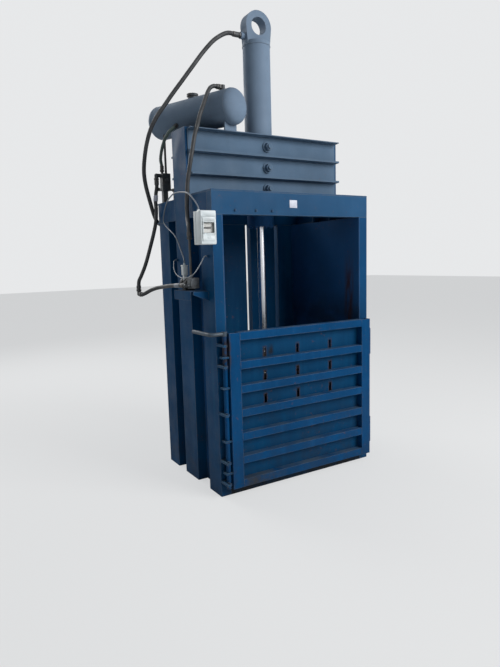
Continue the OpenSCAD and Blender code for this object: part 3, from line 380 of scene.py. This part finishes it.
# Door: stiles, rails and ribs of folded channel with a sheet behind them, in the same
# blue, with rusty rims round the strap slots and a scraped patch beside the first one.
pale_dust = (0.072, 0.104, 0.135)
door_paint = old_paint("door_paint", (0.000, 0.060, 0.180), (0.001, 0.072, 0.205), dust=0.7,
                       chips=0.6, edge=0.9, roughness=0.38, dust_colour=pale_dust)
panel_paint = old_paint("panel_paint", (0.000, 0.052, 0.140), (0.001, 0.058, 0.148), dust=0.7,
                        splash=0.6, chips=0.6, edge=0.3, roughness=0.5)
slot_x = (-0.276, -0.016, 0.260)
slot_z = (0.5911, 0.7428, 0.8945)
slot_rust, bare_patch = (0.050, 0.026, 0.018), (0.012, 0.016, 0.024)
hand_wear, floor_scrape = (0.046, 0.032, 0.024), (0.040, 0.042, 0.042)
stain(panel_paint, slot_rust, 0.85, x=(slot_x, 0.009, 0.022), z=(slot_z, 0.030, 0.048), scale=60)
stain(panel_paint, bare_patch, 1.0, x=((-0.232,), 0.010, 0.030), z=((0.905,), 0.015, 0.045),
      scale=24)
stain(door_paint, hand_wear, 0.85, x=((-0.588,), 0.030, 0.045), z=((0.93,), 0.05, 0.13),
      scale=40)
stain(door_paint, floor_scrape, 0.75, x=((-0.45,), 0.10, 0.32), z=((0.06,), 0.03, 0.08),
      scale=14)
dress(door_paint, "door_frame", "hinge_leaves")
dress(panel_paint, "door_panel")


# Lock: a steel bar with hooks that turns in plates on the door, and keepers welded to the
# front column. The bar is painted with the door, plates and keepers are paler and scuffed.
lock_paint = old_paint("lock_paint", (0.008, 0.068, 0.165), (0.020, 0.085, 0.165), dust=0.7,
                       edge=1.0, streaks=0.8, dust_colour=(0.060, 0.095, 0.115))
dress(door_paint, "lock_bar")
dress(lock_paint, "lock_bearings", "lock_keepers")


# Ram and floor: a rod with hard chrome, ground smooth and faintly scored along its
# length, and the bare plates that press the bale and carry it, brown from use.
def bare_metal(name, colour, film_colour, roughness, metallic, amount, scale):
    material, tree, shader = plain_material(name, colour, roughness, metallic)
    film = ramp(tree, noise(tree, scale, 6, 0.65), 0.42, 0.68, amount)
    tree.links.new(mix_colour(tree, film, colour, film_colour), shader.inputs["Base Color"])
    gloss = ramp(tree, noise(tree, scale * 3, 5), 0.3, 0.7, roughness + 0.15, roughness - 0.1)
    tree.links.new(gloss, shader.inputs["Roughness"])
    bump(tree, shader, noise(tree, 150, 4), 0.3, 0.0008, 0.0015)
    return material


chrome, chrome_tree, chrome_shader = plain_material("chromed_rod", (0.78, 0.80, 0.84), 0.22, 1.0)
rod_wear = ramp(chrome_tree, noise(chrome_tree, 6, 4, 0.5, (6, 6, 0.4)), 0.4, 0.7, 0.34, 0.20)
chrome_tree.links.new(rod_wear, chrome_shader.inputs["Roughness"])
worn_plate = bare_metal("worn_plate", (0.13, 0.115, 0.10), (0.12, 0.065, 0.035), 0.5, 0.35,
                        0.9, 12)
dress(chrome, "piston_rod")
dress(worn_plate, "floor_plates", "platen")


# Ironwork: cast and machined blocks of the motor, pump drive, valve and tank, with a dull
# dark skin, and the turned pins of the door's hinges, rusty all over.
dark_iron = bare_metal("dark_iron", (0.035, 0.042, 0.050), (0.075, 0.070, 0.062), 0.55, 0.3,
                       0.7, 25)
rusty_steel = bare_metal("rusty_steel", (0.085, 0.070, 0.062), (0.15, 0.070, 0.034), 0.7, 0.2,
                         0.9, 40)
dress(dark_iron, "piston", "relief_block", "valve_block", "bell_housing", "motor_body",
      "fan_cover", "tank_fittings", "filler_cap", "motor_fan")
dress(rusty_steel, "hinge_pins")


# Fittings, pump and levers: plated steel hose ends and pipes, a cast alloy pump and bare
# steel handles, greasy and dulled.
fitting_steel = bare_metal("fitting_steel", (0.060, 0.064, 0.068), (0.080, 0.066, 0.054), 0.5,
                           0.5, 0.7, 30)
pump_alloy = bare_metal("pump_alloy", (0.15, 0.165, 0.18), (0.06, 0.06, 0.06), 0.45, 0.6, 0.8, 25)
handle_steel = bare_metal("handle_steel", (0.050, 0.078, 0.110), (0.075, 0.068, 0.060), 0.5, 0.3,
                          0.6, 25)
dress(fitting_steel, "hose_ends", "steel_pipes")
dress(pump_alloy, "pump_body", "valve_lever")
dress(handle_steel, "lock_handle")


# Breaker: a beige moulded body clipped into the back of its case, with two dark levers
# joined by a bar.
def plastic(name, colour, grime):
    material, tree, shader = plain_material(name, colour, 0.4)
    film = ramp(tree, noise(tree, 14, 5), 0.45, 0.75, 0.5)
    tree.links.new(mix_colour(tree, film, colour, grime), shader.inputs["Base Color"])
    bump(tree, shader, noise(tree, 400, 3), 0.15, 0.0004, 0.002)
    return material


beige_plastic = plastic("beige_plastic", (0.66, 0.66, 0.64), (0.50, 0.50, 0.44))
dark_plastic = plastic("dark_plastic", (0.10, 0.10, 0.105), (0.14, 0.14, 0.14))
dress(beige_plastic, "breaker")
dress(dark_plastic, "breaker_toggle")


# Breaker case: two pale rounded mouldings with a fine joint between them, a window in the
# front one, two ears for the lid's pins, and a cable gland with its nut on top.
def rounded_block(name, low, high, radius, segments=3):
    bpy.ops.object.select_all(action="DESELECT")
    middle = [(a + b) / 2000 for a, b in zip(low, high)]
    bpy.ops.mesh.primitive_cube_add(size=1, location=middle)
    piece = bpy.context.object
    piece.name = name
    piece.scale = [(b - a) / 1000 for a, b in zip(low, high)]
    bpy.ops.object.transform_apply(location=True, rotation=True, scale=True)
    bpy.ops.object.mode_set(mode="EDIT")
    bpy.ops.mesh.select_all(action="SELECT")
    bpy.ops.mesh.bevel(offset=radius / 1000, segments=segments, affect="EDGES")
    bpy.ops.object.mode_set(mode="OBJECT")
    bpy.ops.object.shade_smooth_by_angle(angle=math.radians(40))
    return piece


def cut(piece, cutter):
    bpy.ops.object.select_all(action="DESELECT")
    bpy.context.view_layer.objects.active = piece
    piece.select_set(True)
    knife = piece.modifiers.new("cut", "BOOLEAN")
    knife.object = cutter
    knife.solver = "EXACT"
    bpy.ops.object.modifier_apply(modifier="cut")
    bpy.data.objects.remove(cutter)


def finish_piece(piece, material, body, slot, *stands_for):
    piece.data.materials.clear()
    piece.data.materials.append(material)
    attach(piece, body)
    if stands_for:
        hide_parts(*stands_for)


def cylinder(place, facing, sides, radius, depth):
    bpy.ops.object.select_all(action="DESELECT")
    turn = Vector(facing).to_track_quat("Z", "Y").to_euler()
    bpy.ops.mesh.primitive_cylinder_add(vertices=sides, radius=radius / 1000, depth=depth / 1000,
                                        location=Vector(place) / 1000, rotation=turn)
    bpy.ops.object.transform_apply(location=True, rotation=True, scale=True)
    return bpy.context.object


def join_pieces(name, pieces):
    bpy.ops.object.select_all(action="DESELECT")
    for piece in pieces:
        piece.select_set(True)
    bpy.context.view_layer.objects.active = pieces[0]
    bpy.ops.object.join()
    joined = bpy.context.object
    joined.name = name
    return joined


def round_edges(piece, width, segments, sharper_than):
    bevel = piece.modifiers.new("round", "BEVEL")
    bevel.width = width / 1000
    bevel.segments = segments
    bevel.limit_method = "ANGLE"
    bevel.angle_limit = math.radians(sharper_than)
    bpy.ops.object.modifier_apply(modifier="round")
    bpy.ops.object.shade_smooth_by_angle(angle=math.radians(35))


upward = (0, 0, 1)


def cable_gland(name, foot, radius, height):
    nut_height, neck_radius = height * 0.55, radius * 0.72
    nut = cylinder((foot[0], foot[1], foot[2] + nut_height / 2), upward, 6, radius, nut_height)
    neck = cylinder((foot[0], foot[1], foot[2] + height / 2), upward, 24, neck_radius, height)
    piece = join_pieces(name, [neck, nut])
    round_edges(piece, 0.8, 2, 30)
    finish_piece(piece, pale_plastic, "press_frame", "pale_plastic")


pale_plastic = plastic("pale_plastic", (0.66, 0.72, 0.74), (0.48, 0.50, 0.49))
case_low, case_high = (-720, -465, 1578), (-617, -370, 1773)
case_wall, hollow_back, joint_y, joint_gap = 4, -390, -402, 0.8
window_x, window_z = (-703.5, -633.5), (1644, 1704)
case_back = rounded_block("case_back", (case_low[0] + 1, joint_y, case_low[2] + 1),
                          (case_high[0] - 1, case_high[1], case_high[2] - 1), 4)
case_front = rounded_block("case_front", case_low,
                           (case_high[0], joint_y - joint_gap, case_high[2]), 7, 4)
hollow = rounded_block("hollow", [edge + case_wall for edge in case_low],
                       (case_high[0] - case_wall, hollow_back, case_high[2] - case_wall), 5, 2)
cut(case_front, hollow)
cut(case_front, rounded_block("window_hole", (window_x[0], -480, window_z[0]),
                              (window_x[1], -450, window_z[1]), 2, 2))
for half in (case_back, case_front):
    finish_piece(half, pale_plastic, "press_frame", "pale_plastic", "breaker_box")
for i, x in enumerate((-713.5, -628)):
    ear = rounded_block("lid_ear_%d" % (i + 1), (x, -470.5, 1732), (x + 4, -464.5, 1738), 1, 2)
    finish_piece(ear, pale_plastic, "press_frame", "pale_plastic")
cable_gland("case_gland", (-690, -384, 1773), 9, 12)


# Window lid: a thin moulded flap on two pins, with a raised frame round its window and a
# round catch below it.
def capped_cylinder(name, place, facing, sides, radius, depth, rim, lift):
    piece = cylinder(place, facing, sides, radius, depth)
    piece.name = name
    out = Vector(facing)
    bpy.ops.object.mode_set(mode="EDIT")
    bpy.ops.mesh.select_mode(type="FACE")
    bpy.ops.mesh.select_all(action="DESELECT")
    bpy.ops.object.mode_set(mode="OBJECT")
    for face in piece.data.polygons:
        face.select = face.normal.dot(out) > 0.9
    bpy.ops.object.mode_set(mode="EDIT")
    bpy.ops.mesh.inset(thickness=rim / 1000)
    bpy.ops.transform.translate(value=out * lift / 1000)
    bpy.ops.object.mode_set(mode="OBJECT")
    return piece


forward = (0, -1, 0)
lid = rounded_block("window_lid", (-709, -469.6, 1598), (-628, -465.6, 1735), 1.4, 2)
cut(lid, rounded_block("lid_hole", (window_x[0], -480, window_z[0]),
                       (window_x[1], -460, window_z[1]), 2, 2))
finish_piece(lid, pale_plastic, "box_window", "pale_plastic", "box_window")
frame_y, side_width, end_width, overlap = (-471.2, -469.0), 4.5, 5, 2.5
left, right = (window_x[0] - side_width, window_x[0]), (window_x[1], window_x[1] + side_width)
across = (window_x[0] - overlap, window_x[1] + overlap)
upright = (window_z[0] - end_width, window_z[1] + end_width)
for name, x, z in (("window_frame_top", across, (window_z[1], upright[1])),
                   ("window_frame_low", across, (upright[0], window_z[0])),
                   ("window_frame_left", left, upright), ("window_frame_right", right, upright)):
    strip = rounded_block(name, (x[0], frame_y[0], z[0]), (x[1], frame_y[1], z[1]), 0.8, 2)
    finish_piece(strip, pale_plastic, "box_window", "pale_plastic")
catch = capped_cylinder("lid_catch", (-668.5, -470.7, 1619), forward, 32, 9, 3, 2, -1)
finish_piece(catch, pale_plastic, "box_window", "pale_plastic")


# Small things on the hood beam: a bare pale plate that lies flat against it, and the
# painted heads of the three bolts through it.
bare_plate = rounded_block("bare_plate", (-50, -406.6, 1807), (9, -404.9, 1856), 0.7, 2)
plate_white = plastic("plate_white", (0.58, 0.60, 0.70), (0.40, 0.42, 0.48))
finish_piece(bare_plate, plate_white, "press_frame", "pale_plastic")
bolt_x, bolt_y, bolt_z = (-455, -305, -186), -408.2, 1784
for i, x in enumerate(bolt_x):
    bolt = capped_cylinder("hood_bolt_%d" % (i + 1), (x, bolt_y, bolt_z), forward, 6, 8, 7,
                           1.6, 1.2)
    finish_piece(bolt, column_paint, "press_frame", "blue_paint")


# Terminal box: a small pale moulded box on the motor's neck, with a lid held by four
# screws and a gland on top for the lead.
for name, low, high, radius in (("terminal_neck", (-696, -154, 1367), (-676, -134, 1399), 1.5),
                                ("terminal_case", (-702, -160, 1397), (-670, -128, 1454), 4),
                                ("terminal_lid", (-704, -162, 1453), (-668, -126, 1461), 2.5)):
    finish_piece(rounded_block(name, low, high, radius), pale_plastic, "press_frame",
                 "pale_plastic", "terminal_box")
cable_gland("lead_gland", (-686, -144, 1461), 8, 14)
screw_x, screw_y, screw_z = (-700, -672), (-158, -130), 1461.4
lid_screws = join_pieces("terminal_screws", [
    capped_cylinder("screw", (x, y, screw_z), upward, 20, 2.2, 1.6, 0.99, -0.8)
    for y in screw_y for x in screw_x])
finish_piece(lid_screws, fitting_steel, "press_frame", "dark_steel")


# Sleeves on the pump hose: a white wrap under the pipe's end and a grey one by the pump,
# both slipped over the rubber.
def sleeve(name, start, end, radius, material, slot):
    a, b = Vector(start), Vector(end)
    piece = cylinder((a + b) / 2, b - a, 32, radius, (b - a).length)
    piece.name = name
    round_edges(piece, 1.5, 3, 60)
    finish_piece(piece, material, "press_frame", slot)


sleeve("white_sleeve", (-639.4, 388.3, 1953), (-642.8, 389.9, 1912), 16, plate_white,
       "pale_plastic")
sleeve("grey_sleeve", (-722.6, -78, 1333), (-722, -150, 1335), 14.6, cable_sheath, "grey_cable")


# Weld beads: rows of small overlapping ripples where ribs meet the stiles and where the
# keepers stand on the column, and one round the joint of the barrel and its eye.
def bead(place, radius):
    bpy.ops.object.select_all(action="DESELECT")
    bpy.ops.mesh.primitive_uv_sphere_add(segments=10, ring_count=6, radius=radius / 1000,
                                         location=Vector(place) / 1000)
    bpy.ops.object.transform_apply(location=True, rotation=True, scale=True)
    return bpy.context.object


def bead_run(start, end, width):
    along = (Vector(end) - Vector(start)) / 1000
    count = int(along.length / (width * 0.0006))
    piece = bead(start, width / 2)
    row = piece.modifiers.new("row", "ARRAY")
    row.use_relative_offset = False
    row.use_constant_offset = True
    row.constant_offset_displace = along / count
    row.count = count + 1
    bpy.ops.object.modifier_apply(modifier="row")
    bpy.ops.object.shade_smooth()
    return piece


rib_z = [57 + 151.7 * i for i in range(6)] + [996]
stile_edges, rib_face = (-483, 511), -467.3
rib_welds = join_pieces("rib_welds", [
    bead_run((x, rib_face, z + 2), (x, rib_face, z + 48), 5) for x in stile_edges for z in rib_z])
finish_piece(rib_welds, door_paint, "door", "blue_paint")
keeper_x, keeper_z, keeper_edges = (-612, -565), (100, 238, 544, 844, 974), (-7.5, 7.5)
column_face = -406
keeper_welds = join_pieces("keeper_welds", [
    bead_run((keeper_x[0], column_face, z + edge), (keeper_x[1], column_face, z + edge), 4.5)
    for z in keeper_z for edge in keeper_edges])
finish_piece(keeper_welds, column_paint, "press_frame", "blue_paint")

joint_centre, joint_radius = Vector((0, 25, 2925)), 94
barrel_seam = bead(joint_centre + Vector((joint_radius, 0, 0)), 3.6)
barrel_seam.name = "barrel_seam"
bpy.ops.object.mode_set(mode="EDIT")
bpy.ops.mesh.select_all(action="SELECT")
bpy.ops.mesh.spin(steps=120, dupli=True, angle=math.tau, center=joint_centre / 1000,
                  axis=(0, 0, 1))
bpy.ops.mesh.select_all(action="SELECT")
bpy.ops.mesh.remove_doubles(threshold=0.00005)
bpy.ops.mesh.normals_make_consistent(inside=False)
bpy.ops.object.mode_set(mode="OBJECT")
bpy.ops.object.shade_smooth()
# The seam takes the barrel's paint, with its painted glare.
finish_piece(barrel_seam, cylinder_paint_glare_lit, "press_frame", "blue_paint")


# Studio: a pale floor and pale surroundings, a broad soft light from the front right, a
# weaker one from behind and a faint one from the left.
pale_grey = (0.80, 0.81, 0.82, 1)
bpy.ops.mesh.primitive_plane_add(size=60)
floor = bpy.context.object
floor.name = "studio_floor"
floor_material, floor_tree, floor_shader = plain_material("studio_floor", (0.80, 0.80, 0.79), 0.9)
floor_ray = floor_tree.nodes.new("ShaderNodeLightPath")
floor_glow = floor_tree.nodes.new("ShaderNodeEmission")
floor_glow.inputs["Color"].default_value = pale_grey
floor_mix = floor_tree.nodes.new("ShaderNodeMixShader")
floor_tree.links.new(sums(floor_tree, "MULTIPLY", floor_ray.outputs["Is Camera Ray"], 0.7),
                     floor_mix.inputs["Fac"])
floor_tree.links.new(floor_shader.outputs["BSDF"], floor_mix.inputs[1])
floor_tree.links.new(floor_glow.outputs["Emission"], floor_mix.inputs[2])
floor_tree.links.new(floor_mix.outputs["Shader"],
                     floor_tree.nodes["Material Output"].inputs["Surface"])
floor.data.materials.append(floor_material)

world = bpy.data.worlds.new("studio_world")
bpy.context.scene.world = world
world.use_nodes = True
sky = world.node_tree
sky.nodes.clear()
lighting = sky.nodes.new("ShaderNodeBackground")
lighting.inputs["Color"].default_value = (0.90, 0.95, 1.0, 1)
lighting.inputs["Strength"].default_value = 0.24
backdrop = sky.nodes.new("ShaderNodeBackground")
backdrop.inputs["Color"].default_value = pale_grey
backdrop.inputs["Strength"].default_value = 1.0
rays = sky.nodes.new("ShaderNodeLightPath")
seen = sums(sky, "MAXIMUM", rays.outputs["Is Camera Ray"], rays.outputs["Is Transmission Ray"])
seen = sums(sky, "MAXIMUM", seen, rays.outputs["Is Glossy Ray"])
chosen = sky.nodes.new("ShaderNodeMixShader")
sky.links.new(seen, chosen.inputs["Fac"])
sky.links.new(lighting.outputs["Background"], chosen.inputs[1])
sky.links.new(backdrop.outputs["Background"], chosen.inputs[2])
result = sky.nodes.new("ShaderNodeOutputWorld")
sky.links.new(chosen.outputs["Shader"], result.inputs["Surface"])

lamp_size = 3.5
for name, place, aimed_height, watts in (("front_light", (2.6, -5.2, 4.2), 1.3, 350),
                                         ("left_light", (-5.0, -1.6, 3.6), 1.4, 8),
                                         ("back_light", (-1.5, 5.0, 4.5), 1.4, 160)):
    bpy.ops.object.light_add(type="AREA", location=place)
    lamp = bpy.context.object
    lamp.name = name
    lamp.data.shape = "SQUARE"
    lamp.data.size = lamp_size
    lamp.data.energy = watts
    aim = Vector((0, 0, aimed_height)) - Vector(place)
    lamp.rotation_euler = aim.to_track_quat("-Z", "Y").to_euler()
bpy.context.scene.view_settings.view_transform = "Standard"
